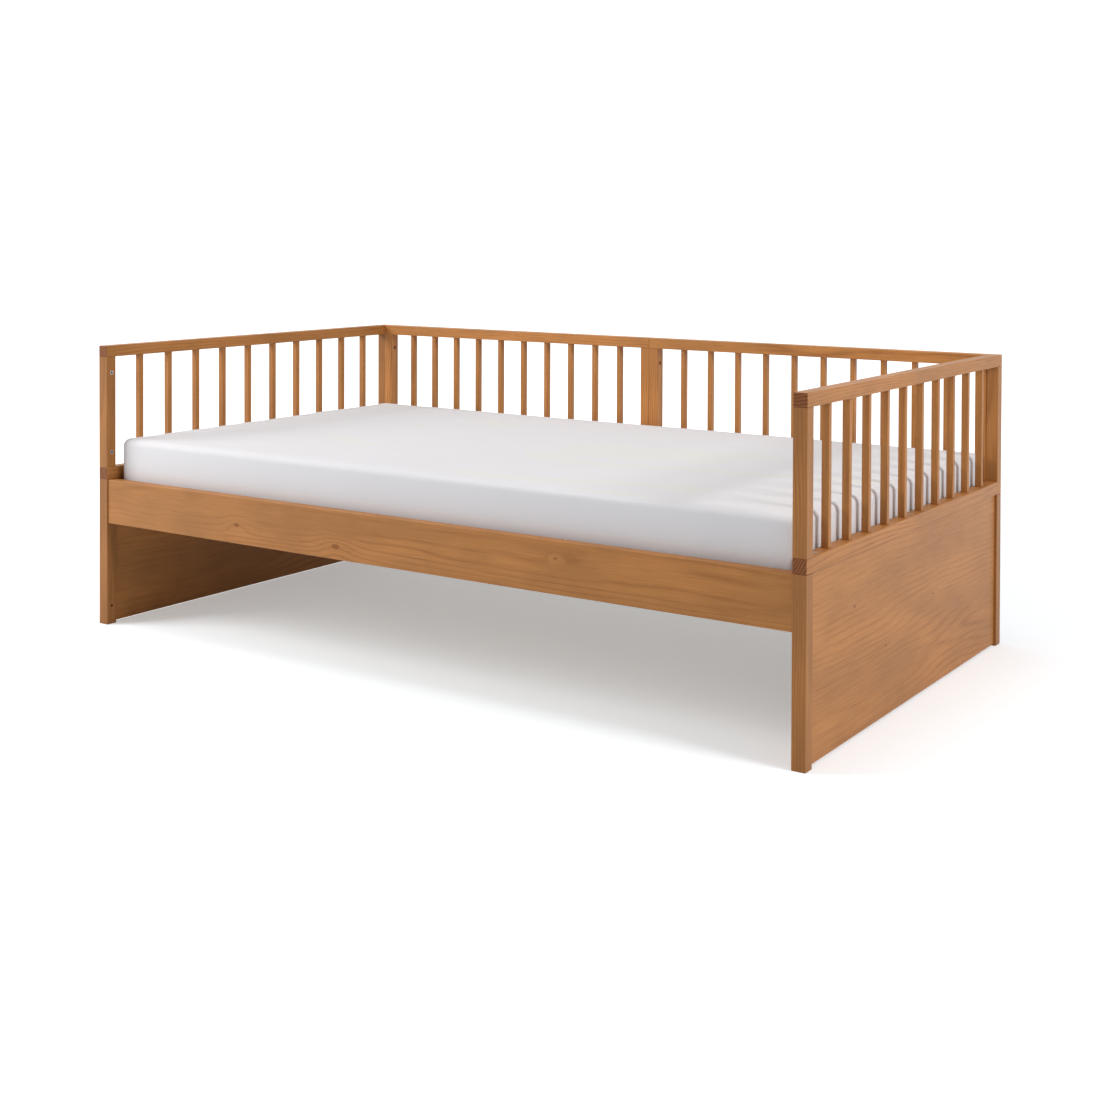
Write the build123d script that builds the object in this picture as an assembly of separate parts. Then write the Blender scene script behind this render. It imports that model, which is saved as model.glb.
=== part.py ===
from build123d import *
import os

# A pine day bed for a child: two end frames, two side rails, a slatted deck, four bolted guards
# and a loose mattress in a fitted sheet. Millimetres. The origin is on the floor under the middle
# of the bed, +X runs along the bed to its right end, -Y is the open front and +Z is up.

# Mattress in its sheet, which the bed is made around
mattress_length = 1905.0
mattress_width = 990.0
mattress_height = 156.0
mattress_corner_radius = 45.0
mattress_edge_roll = 22.0
mattress_crown = 10.0
sheet_thickness = 1.5
sheet_slack = 0.3
sheet_hem = 90.0
end_clearance = 5.0
side_clearance = 8.5

# End frames
stock_thickness = 30.0
leg_depth = 28.0
end_height = 366.0
panel_thickness = 18.0
panel_floor_gap = 5.0
tongue_thickness = 8.0
tongue_depth = 8.0
tongue_end_gap = 0.5
leg_hole_radius = 3.0
leg_hole_depth = 12.0
leg_hole_height = 46.0

# Side rails, ledgers and slats
rail_height = 110.0
rail_thickness = 24.0
rail_recess = 3.0
deck_drop = 50.0
ledger_height = 28.0
ledger_depth = 24.0
ledger_setback = 50.0
slat_count = 14
slat_width = 70.0
slat_thickness = 18.0
slat_end_gap = 2.0

# Guards
guard_height = 336.0
post_width = 27.0
top_rail_height = 28.0
bottom_rail_height = 30.0
baluster_count = 10
baluster_along = 12.5
baluster_across = 16.0
tenon_shoulder = 2.0
tenon_length = 8.0
mortise_floor_gap = 0.5

# Eased edges
board_rounding = 1.5
panel_rounding = 1.0
slat_rounding = 3.0
baluster_rounding = 1.5

# Bolts and threaded inserts that join the guards
insert_inset = 68.0
insert_radius = 5.0
insert_length = 18.0
insert_bore_radius = 3.0
insert_floor_gap = 1.0
bolt_radius = 2.9
bolt_length = 34.0
bolt_head_radius = 5.0
bolt_head_height = 6.0
bolt_hole_radius = 3.25
counterbore_radius = 5.5
counterbore_depth = 10.0

# Cam fittings and dowels that join the side rails to the legs
cam_radius = 7.5
cam_height = 12.5
cam_setback = 34.0
cam_spread = 60.0
cam_pin_radius = 3.5
cam_pin_in_leg = 11.0
cam_pin_bite = 4.0
cam_pin_clearance = 0.3
dowel_radius = 4.0
rail_dowel_in_leg = 12.0
rail_dowel_in_rail = 18.0
leg_dowel_reach = 16.0

# Countersunk wood screws
screw_head_height = 2.5
ledger_screw_radius = 2.0
ledger_screw_head_radius = 4.0
ledger_screw_length = 38.0
ledger_screw_count = 5
slat_screw_radius = 1.8
slat_screw_head_radius = 3.6
slat_screw_length = 34.0
guard_screw_radius = 2.5
guard_screw_head_radius = 4.8
guard_screw_length = 60.0
guard_screw_count = 3
socket_share = 0.55

# Sizes that follow from the ones above
inner_length = mattress_length + 2 * end_clearance
bed_length = inner_length + 2 * stock_thickness
bed_width = (
    rail_recess + rail_thickness + 2 * side_clearance + mattress_width + stock_thickness
)
deck_height = end_height - deck_drop
ledger_top = deck_height - slat_thickness
rail_middle = end_height - rail_height / 2
rail_inner_y = bed_width / 2 - rail_recess - rail_thickness
ledger_inner_y = rail_inner_y - ledger_depth
leg_line_x = (bed_length - stock_thickness) / 2
leg_line_y = (bed_width - leg_depth) / 2
bolt_line_y = (bed_width - stock_thickness) / 2
insert_heights = (end_height + insert_inset, end_height + guard_height - insert_inset)

sides = {"left": -1, "right": 1}
faces = {"front": -1, "back": 1}
nodes = {}


def at(x, y, z, shape):
    return Pos(x, y, z) * shape


def eased_board(size_x, size_y, size_z, rounding):
    board = Box(size_x, size_y, size_z)
    limit = 0.4 * min(size_x, size_y, size_z)
    return fillet(board.edges(), min(rounding, limit))


def add(name, *solids):
    nodes[name] = solids[0] if len(solids) == 1 else Compound(children=list(solids))


def drill(name, *cutters):
    nodes[name] = nodes[name] - list(cutters)


# Which of a row of places get a screw, evenly spread from the first to the last
def spread(count, places):
    return [round(i * (places - 1) / max(count - 1, 1)) for i in range(count)]


# Fasteners stand upright with their head's seat or top at the origin and point down -Z


def rod(radius, length):
    return at(0, 0, -length / 2, Cylinder(radius, length))


def hex_socket(radius, depth):
    return at(0, 0, -depth, extrude(RegularPolygon(radius, 6), depth))


def wood_screw(radius, head_radius, length):
    head = at(0, 0, -screw_head_height / 2, Cone(radius, head_radius, screw_head_height))
    return head + rod(radius, length)


def finished_screw(radius, head_radius, length):
    return wood_screw(radius, head_radius, length) - hex_socket(
        socket_share * head_radius, screw_head_height / 2
    )


def socket_bolt():
    head = at(0, 0, bolt_head_height / 2, Cylinder(bolt_head_radius, bolt_head_height))
    socket = hex_socket(socket_share * bolt_head_radius, bolt_head_height / 2)
    return head + rod(bolt_radius, bolt_length) - at(0, 0, bolt_head_height, socket)


def bolt_hole(through):
    counterbore = at(0, 0, counterbore_depth / 2, Cylinder(counterbore_radius, counterbore_depth))
    return counterbore + rod(bolt_hole_radius, through)


def insert_hole():
    return rod(insert_radius, insert_length + insert_floor_gap)


def threaded_insert():
    return rod(insert_radius, insert_length) - rod(insert_bore_radius, insert_length)


# Turns that point a fastener along an axis instead of down
toward_x = {-1: Rot(0, 90, 0), 1: Rot(0, -90, 0)}
toward_y = {-1: Rot(-90, 0, 0), 1: Rot(90, 0, 0)}


# End frames: two legs with a grooved inner edge, and a tongued panel between them
panel_span = bed_width - 2 * leg_depth
panel_tall = end_height - panel_floor_gap
panel_z = panel_floor_gap + panel_tall / 2

for side, sx in sides.items():
    for face, sy in faces.items():
        leg = at(
            sx * leg_line_x,
            sy * leg_line_y,
            end_height / 2,
            eased_board(stock_thickness, leg_depth, end_height, board_rounding),
        )
        groove = at(
            sx * leg_line_x,
            sy * (panel_span + tongue_depth) / 2,
            panel_z,
            Box(tongue_thickness, tongue_depth, panel_tall),
        )
        spare_hole = at(
            sx * inner_length / 2,
            sy * leg_line_y,
            leg_hole_height,
            toward_x[sx] * rod(leg_hole_radius, leg_hole_depth),
        )
        add(f"{side}_{face}_leg", leg - [groove, spare_hole])
    tongue_span = panel_span + 2 * (tongue_depth - tongue_end_gap)
    panel = eased_board(panel_thickness, panel_span, panel_tall, panel_rounding)
    tongue = Box(tongue_thickness, tongue_span, panel_tall - 2 * panel_rounding)
    add(f"{side}_end_panel", at(sx * leg_line_x, 0, panel_z, panel + tongue))

# Side rails between the legs, with a ledger screwed to the inside of each
for face, sy in faces.items():
    rail = eased_board(inner_length, rail_thickness, rail_height, board_rounding)
    rail_y = sy * (rail_inner_y + rail_thickness / 2)
    add(f"{face}_side_rail", at(0, rail_y, rail_middle, rail))
    ledger = eased_board(
        inner_length - 2 * ledger_setback, ledger_depth, ledger_height, board_rounding
    )
    ledger_y = sy * (rail_inner_y - ledger_depth / 2)
    add(f"{face}_ledger", at(0, ledger_y, ledger_top - ledger_height / 2, ledger))

# Slats across the ledgers, evenly spaced
slat_gap = (inner_length - slat_count * slat_width) / (slat_count + 1)
slat_pitch = slat_width + slat_gap
slat_names = [f"slat_{i + 1:02d}" for i in range(slat_count)]
slat_lines = [
    -inner_length / 2 + slat_gap + slat_width / 2 + i * slat_pitch for i in range(slat_count)
]
for name, x in zip(slat_names, slat_lines):
    slat = eased_board(
        slat_width, 2 * (rail_inner_y - slat_end_gap), slat_thickness, slat_rounding
    )
    add(name, at(x, 0, deck_height - slat_thickness / 2, slat))

# Slat screws go down into the ledgers
slat_screws = []
for name, x in zip(slat_names, slat_lines):
    for face, sy in faces.items():
        place = Pos(x, sy * (rail_inner_y - ledger_depth / 2), deck_height)
        hole = place * wood_screw(slat_screw_radius, slat_screw_head_radius, slat_screw_length)
        drill(name, hole)
        drill(f"{face}_ledger", hole)
        slat_screws.append(
            place * finished_screw(slat_screw_radius, slat_screw_head_radius, slat_screw_length)
        )
add("slat_screws", *slat_screws)

# Ledger screws go outward into the side rails, each midway between two slats
ledger_screws = []
for face, sy in faces.items():
    for gap in spread(ledger_screw_count, slat_count - 1):
        x = slat_lines[gap] + slat_pitch / 2
        place = Pos(x, sy * ledger_inner_y, ledger_top - ledger_height / 2) * toward_y[sy]
        hole = place * wood_screw(
            ledger_screw_radius, ledger_screw_head_radius, ledger_screw_length
        )
        drill(f"{face}_ledger", hole)
        drill(f"{face}_side_rail", hole)
        ledger_screws.append(
            place
            * finished_screw(ledger_screw_radius, ledger_screw_head_radius, ledger_screw_length)
        )
add("ledger_screws", *ledger_screws)

# Cam locks, cam pins and dowels hold each rail end to its leg
cam_locks = []
cam_pins = []
rail_dowels = []
for side, sx in sides.items():
    for face, sy in faces.items():
        leg_name = f"{side}_{face}_leg"
        rail_name = f"{face}_side_rail"
        rail_y = sy * (rail_inner_y + rail_thickness / 2)
        pin_length = cam_pin_in_leg + cam_setback - cam_radius + cam_pin_bite
        for level in (-1, 1):
            z = rail_middle + level * cam_spread / 2
            start = Pos(sx * (inner_length / 2 - pin_length + cam_pin_in_leg), rail_y, z)
            pin = start * toward_x[sx] * rod(cam_pin_radius, pin_length)
            pin_bore = start * toward_x[sx] * rod(
                cam_pin_radius + cam_pin_clearance, pin_length - cam_pin_in_leg
            )
            cam_seat = Pos(sx * (inner_length / 2 - cam_setback), sy * rail_inner_y, z)
            cam = cam_seat * toward_y[sy] * rod(cam_radius, cam_height)
            socket = cam_seat * toward_y[sy] * hex_socket(socket_share * cam_radius, cam_height / 4)
            drill(rail_name, cam, pin_bore)
            drill(leg_name, pin)
            cam_locks.append(cam - [pin_bore, socket])
            cam_pins.append(pin)
        seat = Pos(sx * (inner_length / 2 + rail_dowel_in_leg), rail_y, rail_middle)
        dowel = seat * toward_x[-sx] * rod(dowel_radius, rail_dowel_in_leg + rail_dowel_in_rail)
        drill(rail_name, dowel)
        drill(leg_name, dowel)
        rail_dowels.append(dowel)
add("cam_locks", *cam_locks)
add("cam_pins", *cam_pins)
add("rail_dowels", *rail_dowels)


# A guard along X, centred, standing on z = 0: rails over and under two posts and the balusters
def guard_pieces(length):
    clear_height = guard_height - top_rail_height - bottom_rail_height
    clear_span = length - 2 * post_width
    baluster_gap = (clear_span - baluster_count * baluster_along) / (baluster_count + 1)
    middle = bottom_rail_height + clear_height / 2
    mortise_depth = tenon_length + mortise_floor_gap

    def upright(width, depth):
        body = Box(width, depth, clear_height)
        rounding = min(baluster_rounding, 0.3 * min(width, depth))
        body = fillet(body.edges().filter_by(Axis.Z), rounding)
        tenon = Box(
            width - 2 * tenon_shoulder,
            depth - 2 * tenon_shoulder,
            clear_height + 2 * tenon_length,
        )
        return body + tenon

    def mortises(width, depth, x):
        mortise = Box(width - 2 * tenon_shoulder, depth - 2 * tenon_shoulder, mortise_depth)
        lift = (clear_height + mortise_depth) / 2
        return [at(x, 0, middle + lift, mortise), at(x, 0, middle - lift, mortise)]

    post_x = (length - post_width) / 2
    first_x = -clear_span / 2 + baluster_gap + baluster_along / 2
    pitch = baluster_along + baluster_gap
    baluster_lines = [first_x + i * pitch for i in range(baluster_count)]

    cuts = mortises(post_width, stock_thickness, -post_x)
    cuts += mortises(post_width, stock_thickness, post_x)
    for x in baluster_lines:
        cuts += mortises(baluster_along, baluster_across, x)

    top = eased_board(length, stock_thickness, top_rail_height, board_rounding)
    bottom = eased_board(length, stock_thickness, bottom_rail_height, board_rounding)
    post = upright(post_width, stock_thickness)
    baluster = upright(baluster_along, baluster_across)
    gap_lines = [first_x - pitch / 2 + i * pitch for i in range(baluster_count + 1)]
    return {
        "top_rail": at(0, 0, guard_height - top_rail_height / 2, top) - cuts,
        "bottom_rail": at(0, 0, bottom_rail_height / 2, bottom) - cuts,
        "start_post": at(-post_x, 0, middle, post),
        "end_post": at(post_x, 0, middle, post),
        "balusters": [at(x, 0, middle, baluster) for x in baluster_lines],
        "gap_lines": [gap_lines[i] for i in spread(guard_screw_count, len(gap_lines))],
    }


guard_screws = []


def place_guard(name, place, length, post_names, carrier):
    pieces = guard_pieces(length)
    add(f"{name}_top_rail", place * pieces["top_rail"])
    add(f"{name}_bottom_rail", place * pieces["bottom_rail"])
    add(f"{name}_{post_names[0]}_post", place * pieces["start_post"])
    add(f"{name}_{post_names[1]}_post", place * pieces["end_post"])
    add(f"{name}_balusters", *[place * baluster for baluster in pieces["balusters"]])
    for x in pieces["gap_lines"]:
        seat = place * Pos(x, 0, bottom_rail_height)
        hole = seat * wood_screw(guard_screw_radius, guard_screw_head_radius, guard_screw_length)
        drill(f"{name}_bottom_rail", hole)
        drill(carrier, hole)
        guard_screws.append(
            seat * finished_screw(guard_screw_radius, guard_screw_head_radius, guard_screw_length)
        )


back_guard_length = inner_length / 2
for side, sx in sides.items():
    end_place = Pos(sx * leg_line_x, 0, end_height) * Rot(0, 0, 90)
    place_guard(f"{side}_guard", end_place, bed_width, ("front", "back"), f"{side}_end_panel")
    back_place = Pos(sx * back_guard_length / 2, bolt_line_y, end_height)
    place_guard(
        f"back_{side}_guard", back_place, back_guard_length, ("left", "right"), "back_side_rail"
    )
add("guard_screws", *guard_screws)

# Wood dowels stand in the leg tops and locate the end guards
leg_top_dowels = []
for side, sx in sides.items():
    for face, sy in faces.items():
        top = Pos(sx * leg_line_x, sy * leg_line_y, end_height + leg_dowel_reach)
        dowel = top * rod(dowel_radius, 2 * leg_dowel_reach)
        drill(f"{side}_{face}_leg", dowel)
        drill(f"{side}_guard_bottom_rail", dowel)
        leg_top_dowels.append(dowel)
add("leg_top_dowels", *leg_top_dowels)

# Every end guard post has two inserts facing inward: the back ones hold the corner bolts, and
# the front ones are free for a front guard
shank_through = post_width - counterbore_depth
corner_bolts = []
for side, sx in sides.items():
    inserts = []
    for z in insert_heights:
        for face, sy in faces.items():
            seat = Pos(sx * inner_length / 2, sy * bolt_line_y, z) * toward_x[sx]
            drill(f"{side}_guard_{face}_post", seat * insert_hole())
            inserts.append(seat * threaded_insert())
        under_head = Pos(sx * (inner_length / 2 - shank_through), bolt_line_y, z) * toward_x[sx]
        drill(f"back_{side}_guard_{side}_post", under_head * bolt_hole(shank_through))
        corner_bolts.append(under_head * socket_bolt())
    add(f"{side}_guard_inserts", *inserts)
add("corner_bolts", *corner_bolts)

# The two back guards are bolted together where they meet
middle_inserts = []
middle_bolts = []
for z in insert_heights:
    seat = Pos(0, bolt_line_y, z) * toward_x[-1]
    drill("back_left_guard_right_post", seat * insert_hole())
    middle_inserts.append(seat * threaded_insert())
    under_head = Pos(shank_through, bolt_line_y, z) * toward_x[-1]
    drill("back_right_guard_left_post", under_head * bolt_hole(shank_through))
    middle_bolts.append(under_head * socket_bolt())
add("middle_inserts", *middle_inserts)
add("middle_bolts", *middle_bolts)


# A soft block with rolled edges, slightly bulging sides and a crowned top, standing on z = 0
def soft_block(length, width, height):
    roll = mattress_edge_roll
    shoulder = height - mattress_crown
    sections = [
        (0.0, 0.75 * roll),
        (0.30 * roll, 0.30 * roll),
        (1.10 * roll, 0.05 * roll),
        (0.48 * height, 0.0),
        (shoulder - 1.00 * roll, 0.07 * roll),
        (shoulder - 0.28 * roll, 0.40 * roll),
        (shoulder, roll),
        (shoulder + 0.55 * mattress_crown, 3.0 * roll),
        (height, 9.0 * roll),
    ]
    outlines = [
        Plane.XY.offset(z)
        * RectangleRounded(length - 2 * inset, width - 2 * inset, mattress_corner_radius)
        for z, inset in sections
    ]
    return loft(outlines, ruled=True)


# Mattress and the fitted sheet drawn over it, whose hem turns in underneath
mattress_y = (rail_recess + rail_thickness - stock_thickness) / 2
skin = sheet_thickness + sheet_slack
sheet_outside = soft_block(mattress_length, mattress_width, mattress_height)
sheet_inside = at(
    0,
    0,
    sheet_thickness,
    soft_block(
        mattress_length - 2 * sheet_thickness,
        mattress_width - 2 * sheet_thickness,
        mattress_height - 2 * sheet_thickness,
    ),
)
mattress = at(
    0,
    0,
    sheet_thickness,
    soft_block(mattress_length - 2 * skin, mattress_width - 2 * skin, mattress_height - 2 * skin),
)
sheet_mouth = Box(
    mattress_length - 2 * sheet_hem, mattress_width - 2 * sheet_hem, 4 * sheet_thickness
)
add("mattress", at(0, mattress_y, deck_height, mattress))
add("fitted_sheet", at(0, mattress_y, deck_height, sheet_outside - [sheet_inside, sheet_mouth]))

os.makedirs("parts", exist_ok=True)
for name, shape in nodes.items():
    export_step(shape, f"parts/{name}.step")
print("overall", bed_length, "x", bed_width, "x", end_height + guard_height)
print("nodes", len(nodes))
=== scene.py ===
# A pine day bed for a child, with baluster guards on three sides and a mattress in a white fitted
# sheet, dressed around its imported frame. Metres, +X to the bed's right end, -Y to the open front.
import math
import random

import bmesh
import bpy
from mathutils import Matrix, Vector, noise


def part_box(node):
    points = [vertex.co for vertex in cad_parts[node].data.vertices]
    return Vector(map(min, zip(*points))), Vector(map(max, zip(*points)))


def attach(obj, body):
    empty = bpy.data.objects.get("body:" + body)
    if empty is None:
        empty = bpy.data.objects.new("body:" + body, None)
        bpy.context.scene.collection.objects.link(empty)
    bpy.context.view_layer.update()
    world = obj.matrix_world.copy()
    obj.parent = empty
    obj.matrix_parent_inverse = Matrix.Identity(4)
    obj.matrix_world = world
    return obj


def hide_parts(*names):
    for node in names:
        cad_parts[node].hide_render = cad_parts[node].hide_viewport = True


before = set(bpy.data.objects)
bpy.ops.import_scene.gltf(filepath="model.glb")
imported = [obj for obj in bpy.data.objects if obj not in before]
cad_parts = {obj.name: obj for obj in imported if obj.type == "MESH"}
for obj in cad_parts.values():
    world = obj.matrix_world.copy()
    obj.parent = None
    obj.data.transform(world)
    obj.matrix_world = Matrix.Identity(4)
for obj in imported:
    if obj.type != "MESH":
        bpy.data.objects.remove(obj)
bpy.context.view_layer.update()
scene = bpy.context.scene
scene.view_settings.view_transform = "Standard"

# The camera stands where the photograph was taken from, in front of the bed and past its right
# end, at about waist height. Its line of sight meets the picture at sight_pixel.
photo_side = 1100
sight_pixel = Vector((640.0, 255.3))
focal_pixels = 1536.4
sensor_width = 36.0
view_reach = 200.0
eye = Vector((2.2275, -3.0723, 1.0008))
yaw = -0.5634
pitch = -0.0170
roll = 0.0043

sight = Vector(
    (math.sin(yaw) * math.cos(pitch), math.cos(yaw) * math.cos(pitch), math.sin(pitch))
)
level_right = sight.cross(Vector((0, 0, 1))).normalized()
level_up = level_right.cross(sight)
right = level_right * math.cos(roll) + level_up * math.sin(roll)
up = level_up * math.cos(roll) - level_right * math.sin(roll)

camera_data = bpy.data.cameras.new("photo_camera")
camera = bpy.data.objects.new("photo_camera", camera_data)
scene.collection.objects.link(camera)
camera_data.sensor_width = sensor_width
camera_data.lens = focal_pixels / photo_side * sensor_width
camera_data.shift_x = (photo_side / 2 - sight_pixel.x) / photo_side
camera_data.shift_y = (sight_pixel.y - photo_side / 2) / photo_side
camera_data.clip_end = view_reach
camera.matrix_world = Matrix.Translation(eye) @ Matrix((right, up, -sight)).transposed().to_4x4()
scene.camera = camera

# The studio is a plain white floor that runs to the horizon and a white surround. The camera and
# mirrored rays see the surround white and the floor lifted, most of all where the lamps' light
# runs out. No other rays meet the lift, and the bed's shadow stays on the floor.
white = (1.0, 1.0, 1.0, 1.0)
floor_white = (0.86, 0.90, 0.935, 1.0)
surround_light = 0.34
surround_seen = 1.0
floor_lift = 0.34
far_floor_lift = 1.0
lit_radius = 1.35
unlit_radius = 2.4 * lit_radius
floor_half = 60.0


def put(tree, socket, value):
    """Give a socket a plain value, or link it where the value is another node's output."""
    if isinstance(value, bpy.types.NodeSocket):
        tree.links.new(value, socket)
    else:
        socket.default_value = value


def math_node(tree, operation, *values):
    node = tree.nodes.new("ShaderNodeMath")
    node.operation = operation
    for socket, value in zip(node.inputs, values):
        put(tree, socket, value)
    return node.outputs[0]


def vector_node(tree, operation, *values):
    node = tree.nodes.new("ShaderNodeVectorMath")
    node.operation = operation
    for socket, value in zip(node.inputs, values):
        put(tree, socket, value)
    single = operation in ("LENGTH", "DISTANCE", "DOT_PRODUCT")
    return node.outputs["Value" if single else "Vector"]


def seen_directly(tree):
    path = tree.nodes.new("ShaderNodeLightPath")
    seen = math_node(tree, "MAXIMUM", path.outputs["Is Camera Ray"], path.outputs["Is Glossy Ray"])
    return math_node(tree, "MAXIMUM", seen, path.outputs["Is Transmission Ray"])


world = bpy.data.worlds.new("studio_surround")
scene.world = world
world.use_nodes = True
sky = world.node_tree
sky.nodes.clear()
sky_out = sky.nodes.new("ShaderNodeOutputWorld")
sky_mix = sky.nodes.new("ShaderNodeMixShader")
put(sky, sky_mix.inputs["Fac"], seen_directly(sky))
for socket, strength in zip(sky_mix.inputs[1:], (surround_light, surround_seen)):
    sky_glow = sky.nodes.new("ShaderNodeBackground")
    sky_glow.inputs["Color"].default_value = white
    sky_glow.inputs["Strength"].default_value = strength
    sky.links.new(sky_glow.outputs[0], socket)
sky.links.new(sky_mix.outputs[0], sky_out.inputs["Surface"])

floor_mesh = bpy.data.meshes.new("studio_floor")
floor_bm = bmesh.new()
bmesh.ops.create_grid(floor_bm, x_segments=1, y_segments=1, size=floor_half)
floor_bm.to_mesh(floor_mesh)
floor_bm.free()
floor = bpy.data.objects.new("studio_floor", floor_mesh)
scene.collection.objects.link(floor)

floor_paint = bpy.data.materials.new("floor_paint")
floor_paint.use_nodes = True
paint = floor_paint.node_tree
paint.nodes.clear()
paint_out = paint.nodes.new("ShaderNodeOutputMaterial")
paint_coat = paint.nodes.new("ShaderNodeBsdfDiffuse")
paint_coat.inputs["Color"].default_value = floor_white
paint_spot = paint.nodes.new("ShaderNodeTexCoord")
paint_lift = paint.nodes.new("ShaderNodeMapRange")
paint_lift.interpolation_type = "SMOOTHSTEP"
paint_lift.inputs["From Min"].default_value = lit_radius
paint_lift.inputs["From Max"].default_value = unlit_radius
paint_lift.inputs["To Min"].default_value = floor_lift
paint_lift.inputs["To Max"].default_value = far_floor_lift
put(paint, paint_lift.inputs["Value"], vector_node(paint, "LENGTH", paint_spot.outputs["Object"]))
paint_glow = paint.nodes.new("ShaderNodeEmission")
paint_glow.inputs["Color"].default_value = white
glow_level = math_node(paint, "MULTIPLY", seen_directly(paint), paint_lift.outputs["Result"])
put(paint, paint_glow.inputs["Strength"], glow_level)
paint_sum = paint.nodes.new("ShaderNodeAddShader")
paint.links.new(paint_coat.outputs[0], paint_sum.inputs[0])
paint.links.new(paint_glow.outputs[0], paint_sum.inputs[1])
paint.links.new(paint_sum.outputs[0], paint_out.inputs["Surface"])
floor_mesh.materials.append(floor_paint)


# Three soft lamps: one high on the right, whose light comes through the right guard, a broad one
# on the left that lights the front boards, and a weak broad one overhead.
def soft_lamp(name, place, aim, side, watts):
    lamp_data = bpy.data.lights.new(name, "AREA")
    lamp_data.shape = "SQUARE"
    lamp_data.size = side
    lamp_data.energy = watts
    lamp = bpy.data.objects.new(name, lamp_data)
    scene.collection.objects.link(lamp)
    lamp.location = place
    lamp.rotation_euler = (Vector(aim) - Vector(place)).to_track_quat("-Z", "Y").to_euler()


soft_lamp("right_lamp", place=(4.6, -0.6, 2.9), aim=(0.6, 0.0, 0.3), side=1.2, watts=105)
soft_lamp("left_lamp", place=(-3.0, -2.3, 2.3), aim=(-0.6, 0.3, 0.4), side=1.8, watts=100)
soft_lamp("top_lamp", place=(0.0, 0.2, 4.2), aim=(0.0, 0.0, 0.3), side=2.6, watts=38)

# Pine boards under a clear honey stain. Each board is cut from a trunk whose heart runs beside
# it, so the year rings show as flowing lines along its faces and as arcs on its ends, which
# drink more stain and are darker. Around a knot the rings part.
honey_light = (0.445, 0.186, 0.050, 1.0)
honey_dark = (0.255, 0.086, 0.018, 1.0)
end_grain_light = (0.66, 0.50, 0.40, 1.0)
end_grain_dark = (0.24, 0.15, 0.11, 1.0)
nearest_heart = 0.05
farthest_heart = 0.12
board_spread = 0.05
knot_length = 0.45
knot_reach = 3.2
knot_darkness = 1.25
fibre_contrast = 1.15
fibre_middle = 0.44
wood_specular = 0.26
pore_depth = 0.00025
pore_strength = 0.35
luck = random.Random(11)


def plus(tree, first, second):
    return math_node(tree, "ADD", first, second)


def minus(tree, first, second):
    return math_node(tree, "SUBTRACT", first, second)


def times(tree, first, second):
    return math_node(tree, "MULTIPLY", first, second)


def ramp_node(tree, source, *stops):
    node = tree.nodes.new("ShaderNodeValToRGB")
    node.color_ramp.interpolation = "EASE"
    elements = node.color_ramp.elements
    while len(elements) < len(stops):
        elements.new(0.5)
    for element, (position, level) in zip(elements, stops):
        element.position = position
        element.color = (level, level, level, 1.0)
    tree.links.new(source, node.inputs["Fac"])
    return node.outputs["Color"]


def noise_node(tree, vector, scale, detail, roughness=0.5):
    node = tree.nodes.new("ShaderNodeTexNoise")
    node.inputs["Scale"].default_value = scale
    node.inputs["Detail"].default_value = detail
    node.inputs["Roughness"].default_value = roughness
    tree.links.new(vector, node.inputs["Vector"])
    return node.outputs["Fac"]


def grain_noise(tree, here, grain, lengthwise, crosswise, detail, roughness=0.5):
    """Noise drawn out along the grain, with so many spots to the metre each way."""
    stretch = [lengthwise if axis == grain else crosswise for axis in range(3)]
    return noise_node(tree, vector_node(tree, "MULTIPLY", here, stretch), 1.0, detail, roughness)


def mixed_colour(tree, factor, first, second, blend="MIX"):
    node = tree.nodes.new("ShaderNodeMix")
    node.data_type = "RGBA"
    node.blend_type = blend
    put(tree, node.inputs["Factor"], factor)
    put(tree, node.inputs["A"], first)
    put(tree, node.inputs["B"], second)
    return node.outputs["Result"]


def ring_distance(tree, here, grain, heart, warp):
    """Distance from the trunk's heart, bent by the trunk's slow curves."""
    across = [0.0 if axis == grain else 1.0 for axis in range(3)]
    offset = [0.0, 0.0, 0.0]
    sideways = [axis for axis in range(3) if axis != grain]
    offset[sideways[0]], offset[sideways[1]] = heart
    flat = vector_node(tree, "MULTIPLY", here, across)
    distance = vector_node(tree, "LENGTH", vector_node(tree, "SUBTRACT", flat, offset))
    bow = minus(tree, grain_noise(tree, here, grain, 1.3, 4.5, 2.0), 0.5)
    return plus(tree, distance, times(tree, bow, 2 * warp))


def part_round_knots(tree, rings, spot_here, grain, knots):
    """The rings pushed aside by each knot, and the knots' own dark cores."""
    squeeze = [knot_length if axis == grain else 1.0 for axis in range(3)]
    cores = None
    for spot, size, push in knots:
        knot_centre = [place * share for place, share in zip(spot, squeeze)]
        squeezed = vector_node(tree, "MULTIPLY", spot_here, squeeze)
        away = vector_node(tree, "DISTANCE", squeezed, knot_centre)
        spread = math_node(tree, "DIVIDE", away, knot_reach * size)
        swell = math_node(tree, "EXPONENT", times(tree, times(tree, spread, spread), -1.0))
        rings = plus(tree, rings, times(tree, swell, push))
        core = ramp_node(tree, math_node(tree, "DIVIDE", away, size), (0.35, 1.0), (1.0, 0.0))
        cores = core if cores is None else math_node(tree, "MAXIMUM", cores, core)
    return rings, cores


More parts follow.
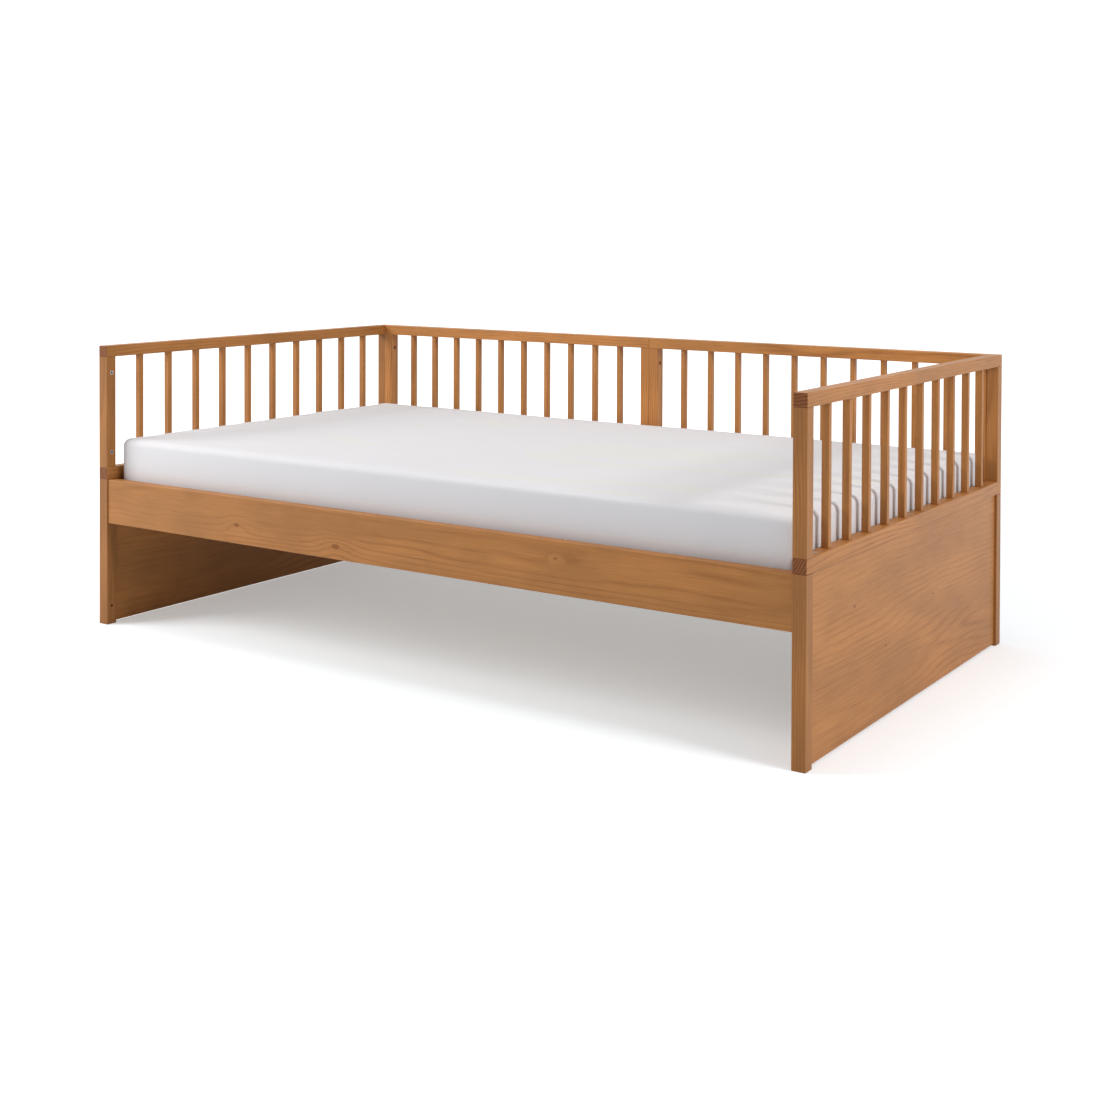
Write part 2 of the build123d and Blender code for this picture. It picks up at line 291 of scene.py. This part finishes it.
def pine(
    name,
    centre,
    grain,
    heart,
    light=honey_light,
    dark=honey_dark,
    knots=(),
    warp=0.016,
    ring_width=0.006,
    line_depth=0.6,
    gloss=0.44,
):
    """Board wood. grain is the axis that the board's length lies on, and heart the trunk's middle
    beside the board's centre, across the grain. Each knot is (place, radius, push)."""
    wood = bpy.data.materials.new(name)
    wood.use_nodes = True
    tree = wood.node_tree
    shader = tree.nodes["Principled BSDF"]
    coords = tree.nodes.new("ShaderNodeTexCoord")
    here = vector_node(tree, "SUBTRACT", coords.outputs["Object"], centre)
    rings = ring_distance(tree, here, grain, heart, warp)
    rings, cores = part_round_knots(tree, rings, coords.outputs["Object"], grain, knots)

    # Early wood is pale and wide, late wood is a narrow darker line
    fibre = grain_noise(tree, here, grain, 9.0, 420.0, 3.0, 0.6)
    wander = grain_noise(tree, here, grain, 1.6, 34.0, 2.0)
    ragged = plus(tree, times(tree, fibre, 0.25), times(tree, wander, 1.5))
    years = plus(tree, math_node(tree, "DIVIDE", rings, ring_width), ragged)
    season = math_node(tree, "FRACT", years)
    late = ramp_node(tree, season, (0.0, 0.28), (0.10, 0.0), (0.52, 0.14), (0.86, 1.0), (1.0, 0.28))

    # The lines fade in and out, and long fibres and stained clouds lie over them
    patch = grain_noise(tree, here, grain, 2.2, 13.0, 3.0)
    figure = grain_noise(tree, here, grain, 5.0, 11.0, 4.0, 0.6)
    faint = ramp_node(tree, patch, (0.32, 0.12 * line_depth), (0.68, line_depth))
    streak = times(tree, minus(tree, fibre, fibre_middle), fibre_contrast)
    tint = plus(tree, times(tree, late, faint), streak)
    if cores is not None:
        tint = math_node(tree, "MAXIMUM", tint, times(tree, cores, knot_darkness))
    colour = mixed_colour(tree, tint, light, dark)
    for cloudiness in (patch, figure):
        cloud = ramp_node(tree, cloudiness, (0.30, 0.90), (0.70, 1.08))
        colour = mixed_colour(tree, 1.0, colour, cloud, "MULTIPLY")

    # Cut ends face along the grain
    along = [1.0 if axis == grain else 0.0 for axis in range(3)]
    facing = vector_node(tree, "DOT_PRODUCT", coords.outputs["Normal"], along)
    cut_end = ramp_node(tree, math_node(tree, "ABSOLUTE", facing), (0.55, 0.0), (0.85, 1.0))
    end_rings = mixed_colour(tree, late, end_grain_light, end_grain_dark)
    darker = mixed_colour(tree, cut_end, white, end_rings)
    colour = mixed_colour(tree, 1.0, colour, darker, "MULTIPLY")
    tree.links.new(colour, shader.inputs["Base Color"])

    # The stain's thin varnish follows the pores
    rough = plus(tree, times(tree, fibre, 0.16), gloss - 0.08)
    tree.links.new(rough, shader.inputs["Roughness"])
    shader.inputs["Specular IOR Level"].default_value = wood_specular
    pores = tree.nodes.new("ShaderNodeBump")
    pores.inputs["Strength"].default_value = pore_strength
    pores.inputs["Distance"].default_value = pore_depth
    tree.links.new(minus(tree, fibre, times(tree, late, 0.4)), pores.inputs["Height"])
    tree.links.new(pores.outputs["Normal"], shader.inputs["Normal"])
    return wood


def finish_node(node, finish):
    """Give a whole node of the frame one finish."""
    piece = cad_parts[node]
    piece.data.materials.clear()
    piece.data.materials.append(finish)
    for face in piece.data.polygons:
        face.material_index = 0


def dress_board(node, grain=None, heart=None, tone=1.0, **look):
    """Pine on one node, with its own place in a trunk and its own stain shade, scaled by tone."""
    low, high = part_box(node)
    size = high - low
    if grain is None:
        grain = max(range(3), key=lambda axis: size[axis])
    if heart is None:
        turn = luck.uniform(0.0, 2.0 * math.pi)
        reach = luck.uniform(nearest_heart, farthest_heart)
        heart = (reach * math.cos(turn), reach * math.sin(turn))
    shade = tone * luck.uniform(1.0 - board_spread, 1.0 + board_spread)
    look.setdefault("light", tuple(c * shade for c in honey_light[:3]) + (1.0,))
    finish_node(node, pine(f"{node}_wood", (low + high) / 2, grain, heart, **look))


# End frames: two slim legs of upright grain with a wide panel between them, glued with a tongue
# in a groove. The panel's grain lies level, in wide cloudy figure with a few pin knots.
leg_tones = {"left": 0.76, "right": 0.82}
for side in ("left", "right"):
    for face in ("front", "back"):
        dress_board(f"{side}_{face}_leg", tone=leg_tones[side])
    panel_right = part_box(f"{side}_end_panel")[1].x
    dress_board(
        f"{side}_end_panel",
        grain=1,
        heart=(0.05, -0.10),
        knots=[
            (Vector((panel_right, -0.150, 0.150)), 0.0035, 0.004),
            (Vector((panel_right, 0.110, 0.205)), 0.0030, 0.004),
            (Vector((panel_right, -0.305, 0.262)), 0.0040, 0.006),
        ],
        warp=0.045,
        ring_width=0.013,
        line_depth=0.42,
    )

# Side rails: a wide board at the front and its twin at the back, held to the legs by cams and
# dowels. The grain of the front one flows round two knots and a pin knot.
rail_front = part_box("front_side_rail")[0].y
rail_knots = [
    (Vector((-0.50, rail_front, 0.300)), 0.006, 0.010),
    (Vector((-0.185, rail_front, 0.285)), 0.008, 0.013),
    (Vector((0.42, rail_front, 0.330)), 0.003, 0.005),
]
rail_look = {"warp": 0.022, "ring_width": 0.0075, "line_depth": 0.5}
dress_board("front_side_rail", heart=(0.062, 0.02), knots=rail_knots, **rail_look)
dress_board("back_side_rail", heart=(-0.070, 0.01), **rail_look)

# Deck: slats of plain unstained pine, screwed down on two ledgers that are screwed to the inside
# of the side rails
raw_light = (0.63, 0.44, 0.25, 1.0)
raw_dark = (0.45, 0.27, 0.12, 1.0)
raw_gloss = 0.62
for node in sorted(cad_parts):
    is_slat = node.startswith("slat_") and node != "slat_screws"
    if is_slat or node.endswith("_ledger"):
        dress_board(node, light=raw_light, dark=raw_dark, gloss=raw_gloss)

# Guards: rails, posts and balusters of the same stained pine, tenoned together, with the grain
# along each stick. The end guards' posts are darker. The back guards' stain is lightened as
# painted light, standing in for the extra light that falls on them.
back_guard_painted_light = 1.15
end_post_tones = {"left_guard": 0.78, "right_guard": 0.88}
for guard in ("left_guard", "right_guard", "back_left_guard", "back_right_guard"):
    for node in sorted(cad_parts):
        if not node.startswith(f"{guard}_") or node.endswith("_inserts"):
            continue
        is_post = node.endswith("_post")
        tone = 1.0
        # The back guards' lighter tone is painted light, standing in for the light that falls on
        # them
        if guard not in end_post_tones:
            tone = back_guard_painted_light
        elif is_post:
            tone = end_post_tones[guard]
        upright = is_post or node.endswith("_balusters")
        dress_board(node, grain=2 if upright else None, tone=tone)

# Dowels: plain turned hardwood pegs between rail and leg and between leg and guard, with the
# grain along each dowel
dowel_look = {
    "light": (0.62, 0.47, 0.30, 1.0),
    "dark": (0.50, 0.34, 0.19, 1.0),
    "gloss": 0.6,
}
dress_board("rail_dowels", grain=0, **dowel_look)
dress_board("leg_top_dowels", grain=2, **dowel_look)

# Metal fittings: screws, bolts, threaded inserts and cams of zinc-plated steel, with a fine
# unevenness in the plating
plating_grain = 900.0
steel_dark = (0.50, 0.50, 0.49, 1.0)
steel_light = (0.66, 0.66, 0.65, 1.0)
steel = bpy.data.materials.new("fitting_steel")
steel.use_nodes = True
steel_tree = steel.node_tree
steel_shader = steel_tree.nodes["Principled BSDF"]
steel_shader.inputs["Metallic"].default_value = 1.0
steel_coords = steel_tree.nodes.new("ShaderNodeTexCoord")
plating = noise_node(steel_tree, steel_coords.outputs["Object"], plating_grain, 4.0, 0.6)
steel_colour = mixed_colour(steel_tree, plating, steel_dark, steel_light)
steel_tree.links.new(steel_colour, steel_shader.inputs["Base Color"])
steel_rough = plus(steel_tree, times(steel_tree, plating, 0.25), 0.22)
steel_tree.links.new(steel_rough, steel_shader.inputs["Roughness"])
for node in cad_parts:
    if node.endswith(("_screws", "_bolts", "_inserts")) or node.startswith("cam_"):
        finish_node(node, steel)

# Mattress: a foam core in a plain cotton ticking, seen only from below, between the slats and
# through the mouth of the sheet
mattress_corner = 0.020
mattress_roll = 0.020
mattress_cell = 0.060
corner_segments = 8
roll_segments = 6
crown = 0.006
crown_fall = 6
level_slack = 1e-6
flat_facing = 0.9
merge_gap = 0.0004
ticking_white = (0.80, 0.79, 0.76, 1.0)
ticking_thread = 0.0012
ticking_wrinkle = 0.0008


def soft_slab(low, high, corner, roll, cell):
    """A slab in the box from low to high, with round corners, rolled edges and a crowned top."""
    bm = bmesh.new()
    size = high - low
    middle = (low + high) / 2
    half = size / 2
    bmesh.ops.create_cube(bm, size=1.0)
    bmesh.ops.scale(bm, verts=bm.verts, vec=size)
    bmesh.ops.translate(bm, verts=bm.verts, vec=middle)
    rounding = {"profile": 0.5, "affect": "EDGES", "material": -1}
    uprights = []
    for edge in bm.edges:
        if abs(edge.verts[0].co.z - edge.verts[1].co.z) > level_slack:
            uprights.append(edge)
    bmesh.ops.bevel(bm, geom=uprights, offset=corner, segments=corner_segments, **rounding)
    rims = []
    for edge in bm.edges:
        is_level = abs(edge.verts[0].co.z - edge.verts[1].co.z) < level_slack
        flats = [face for face in edge.link_faces if abs(face.normal.z) > flat_facing]
        if is_level and len(flats) == 1:
            rims.append(edge)
    bmesh.ops.bevel(bm, geom=rims, offset=roll, segments=roll_segments, **rounding)

    # Cut it into cells fine enough to bend
    for axis in range(3):
        cuts = max(2, round(size[axis] / cell))
        for i in range(1, cuts):
            point = low.copy()
            point[axis] += i * size[axis] / cuts
            normal = Vector((0, 0, 0))
            normal[axis] = 1.0
            everything = list(bm.verts) + list(bm.edges) + list(bm.faces)
            bmesh.ops.bisect_plane(bm, geom=everything, plane_co=point, plane_no=normal)
    bmesh.ops.remove_doubles(bm, verts=bm.verts, dist=merge_gap)

    # The top is highest in the middle and falls off near the edges
    for vert in bm.verts:
        if vert.co.z < middle.z:
            continue
        off = vert.co - middle
        fall = max(abs(off.x) / half.x, abs(off.y) / half.y) ** crown_fall
        vert.co.z -= crown * fall * (vert.co.z - middle.z) / half.z
    bmesh.ops.recalc_face_normals(bm, faces=bm.faces)
    return bm


def woven_cotton(name, light, thread, wrinkle_depth):
    """Plain woven cotton: threads about a millimetre apart, faint slubs and soft creases."""
    # The texture's waves repeat every wave_span / scale
    wave_span = 0.314
    cotton = bpy.data.materials.new(name)
    cotton.use_nodes = True
    tree = cotton.node_tree
    shader = tree.nodes["Principled BSDF"]
    here = tree.nodes.new("ShaderNodeTexCoord").outputs["Object"]
    thread_sets = []
    for direction in ("X", "Y"):
        threads = tree.nodes.new("ShaderNodeTexWave")
        threads.bands_direction = direction
        threads.inputs["Scale"].default_value = wave_span / thread
        threads.inputs["Distortion"].default_value = 0.6
        threads.inputs["Detail"].default_value = 1.0
        tree.links.new(here, threads.inputs["Vector"])
        thread_sets.append(threads.outputs["Fac"])
    weave = times(tree, *thread_sets)
    slub = noise_node(tree, here, 160.0, 4.0, 0.6)
    soft = noise_node(tree, here, 5.0, 3.0)
    shade = plus(tree, times(tree, slub, 0.35), times(tree, soft, 0.5))
    dimmer = tuple(0.93 * c for c in light[:3]) + (1.0,)
    tree.links.new(mixed_colour(tree, shade, dimmer, light), shader.inputs["Base Color"])
    shader.inputs["Roughness"].default_value = 0.86
    shader.inputs["Specular IOR Level"].default_value = 0.22
    shader.inputs["Sheen Weight"].default_value = 0.15
    shader.inputs["Sheen Roughness"].default_value = 0.5
    fine = tree.nodes.new("ShaderNodeBump")
    fine.inputs["Strength"].default_value = 0.25
    fine.inputs["Distance"].default_value = 0.0002
    tree.links.new(weave, fine.inputs["Height"])
    broad = tree.nodes.new("ShaderNodeBump")
    broad.inputs["Strength"].default_value = 0.5
    broad.inputs["Distance"].default_value = wrinkle_depth
    tree.links.new(noise_node(tree, here, 9.0, 3.0, 0.55), broad.inputs["Height"])
    tree.links.new(fine.outputs["Normal"], broad.inputs["Normal"])
    tree.links.new(broad.outputs["Normal"], shader.inputs["Normal"])
    return cotton


ticking_low, ticking_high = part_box("mattress")
ticking_bm = soft_slab(ticking_low, ticking_high, mattress_corner, mattress_roll, mattress_cell)
ticking_mesh = bpy.data.meshes.new("mattress_ticking")
ticking_bm.to_mesh(ticking_mesh)
ticking_bm.free()
ticking = bpy.data.objects.new("mattress_ticking", ticking_mesh)
scene.collection.objects.link(ticking)
ticking_mesh.shade_smooth()
ticking_cotton = woven_cotton("ticking_cotton", ticking_white, ticking_thread, ticking_wrinkle)
ticking_mesh.materials.append(ticking_cotton)
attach(ticking, "mattress_set")
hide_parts("mattress")

# Fitted sheet: one cut of white cotton with its corners sewn, pulled over the mattress and turned
# in underneath by its elastic hem. It is tight on top and gathers a little at the corners.
sheet_white = (0.80, 0.785, 0.80, 1.0)
sheet_thread = 0.0008
sheet_wrinkle = 0.0012
sheet_corner = 0.022
sheet_roll = 0.019
sheet_cell = 0.018
hem_reach = 0.09
underside_band = 0.001
gather_foot = 0.002
gather_reach = 0.22
gather_depth = 0.0011
gather_turns = 150.0
gather_waver = 3.0
top_facing = 0.7
crease_depth = 0.0022
crease_sink = 0.6
crease_start = 0.15
sheet_low, sheet_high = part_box("fitted_sheet")
sheet_middle = (sheet_low + sheet_high) / 2
sheet_half = (sheet_high - sheet_low) / 2
sheet_bm = soft_slab(sheet_low, sheet_high, sheet_corner, sheet_roll, sheet_cell)

# The mouth underneath, cut square at the hem
for axis in (0, 1):
    for end in (-1, 1):
        point = sheet_middle.copy()
        point[axis] += end * (sheet_half[axis] - hem_reach)
        normal = Vector((0, 0, 0))
        normal[axis] = 1.0
        under = []
        for face in sheet_bm.faces:
            if face.calc_center_median().z < sheet_low.z + underside_band:
                under.append(face)
        around = {item for face in under for item in list(face.verts) + list(face.edges)}
        bmesh.ops.bisect_plane(sheet_bm, geom=under + list(around), plane_co=point, plane_no=normal)
mouth = []
for face in sheet_bm.faces:
    centre = face.calc_center_median() - sheet_middle
    inside = abs(centre.x) < sheet_half.x - hem_reach and abs(centre.y) < sheet_half.y - hem_reach
    if inside and centre.z < underside_band - sheet_half.z:
        mouth.append(face)
bmesh.ops.delete(sheet_bm, geom=mouth, context="FACES")

# The gathers run down the sides near the corners, and faint long creases cross the top
for vert in sheet_bm.verts:
    off = vert.co - sheet_middle
    from_corner = Vector((sheet_half.x - abs(off.x), sheet_half.y - abs(off.y))).length
    run = off.x - off.y
    if from_corner < gather_reach and off.z > gather_foot - sheet_half.z:
        low_share = 0.5 - 0.5 * off.z / sheet_half.z
        waver = noise.noise(Vector((run * 9.0, off.z * 14.0, 2.0)))
        fold = math.sin(run * gather_turns + gather_waver * waver)
        depth = gather_depth * (1.0 - from_corner / gather_reach) * low_share
        vert.co += vert.normal * depth * (fold - 1.0)
    if vert.normal.z > top_facing:
        drift = noise.noise(Vector((off.x * 2.6, off.y * 2.6, 5.0)))
        crease = noise.noise(Vector((off.x * 1.3 + drift, off.y * 12.0 + 2.0 * drift, 9.0)))
        vert.co.z += crease_depth * (crease - crease_sink) * min(1.0, from_corner / crease_start)

sheet_mesh = bpy.data.meshes.new("fitted_sheet_cloth")
sheet_bm.to_mesh(sheet_mesh)
sheet_bm.free()
sheet = bpy.data.objects.new("fitted_sheet_cloth", sheet_mesh)
scene.collection.objects.link(sheet)

# The cloth settles under a slight push from the foam while its hem stays tucked under
tuck_height = 0.012
settle_steps = 20
settle_limit = 0.003
tucked = sheet.vertex_groups.new(name="tucked_hem")
tuck_level = sheet_low.z + tuck_height
tucked.add([v.index for v in sheet_mesh.vertices if v.co.z < tuck_level], 1.0, "REPLACE")
before = [v.co.copy() for v in sheet_mesh.vertices]
settle = sheet.modifiers.new("settle", "CLOTH")
settle.settings.quality = 5
settle.settings.mass = 0.25
settle.settings.tension_stiffness = 30.0
settle.settings.compression_stiffness = 30.0
settle.settings.shear_stiffness = 12.0
settle.settings.bending_stiffness = 0.4
settle.settings.use_pressure = True
settle.settings.uniform_pressure_force = 1.2
settle.settings.shrink_min = -0.004
settle.settings.vertex_group_mass = "tucked_hem"
settle.settings.effector_weights.gravity = 0.0
for step in range(1, settle_steps + 1):
    scene.frame_set(step)
settled = sheet.evaluated_get(bpy.context.evaluated_depsgraph_get()).to_mesh()
after = [v.co.copy() for v in settled.vertices]
sheet.modifiers.remove(settle)
scene.frame_set(1)
for vert, start, end in zip(sheet_mesh.vertices, before, after):
    move = end - start
    if move.length > settle_limit:
        move *= settle_limit / move.length
    vert.co = start + move

sheet_mesh.shade_smooth()
smoother = sheet.modifiers.new("smoother", "SUBSURF")
smoother.levels = 1
smoother.render_levels = 1
sheet_mesh.materials.append(woven_cotton("sheet_cotton", sheet_white, sheet_thread, sheet_wrinkle))
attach(sheet, "mattress_set")
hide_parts("fitted_sheet")
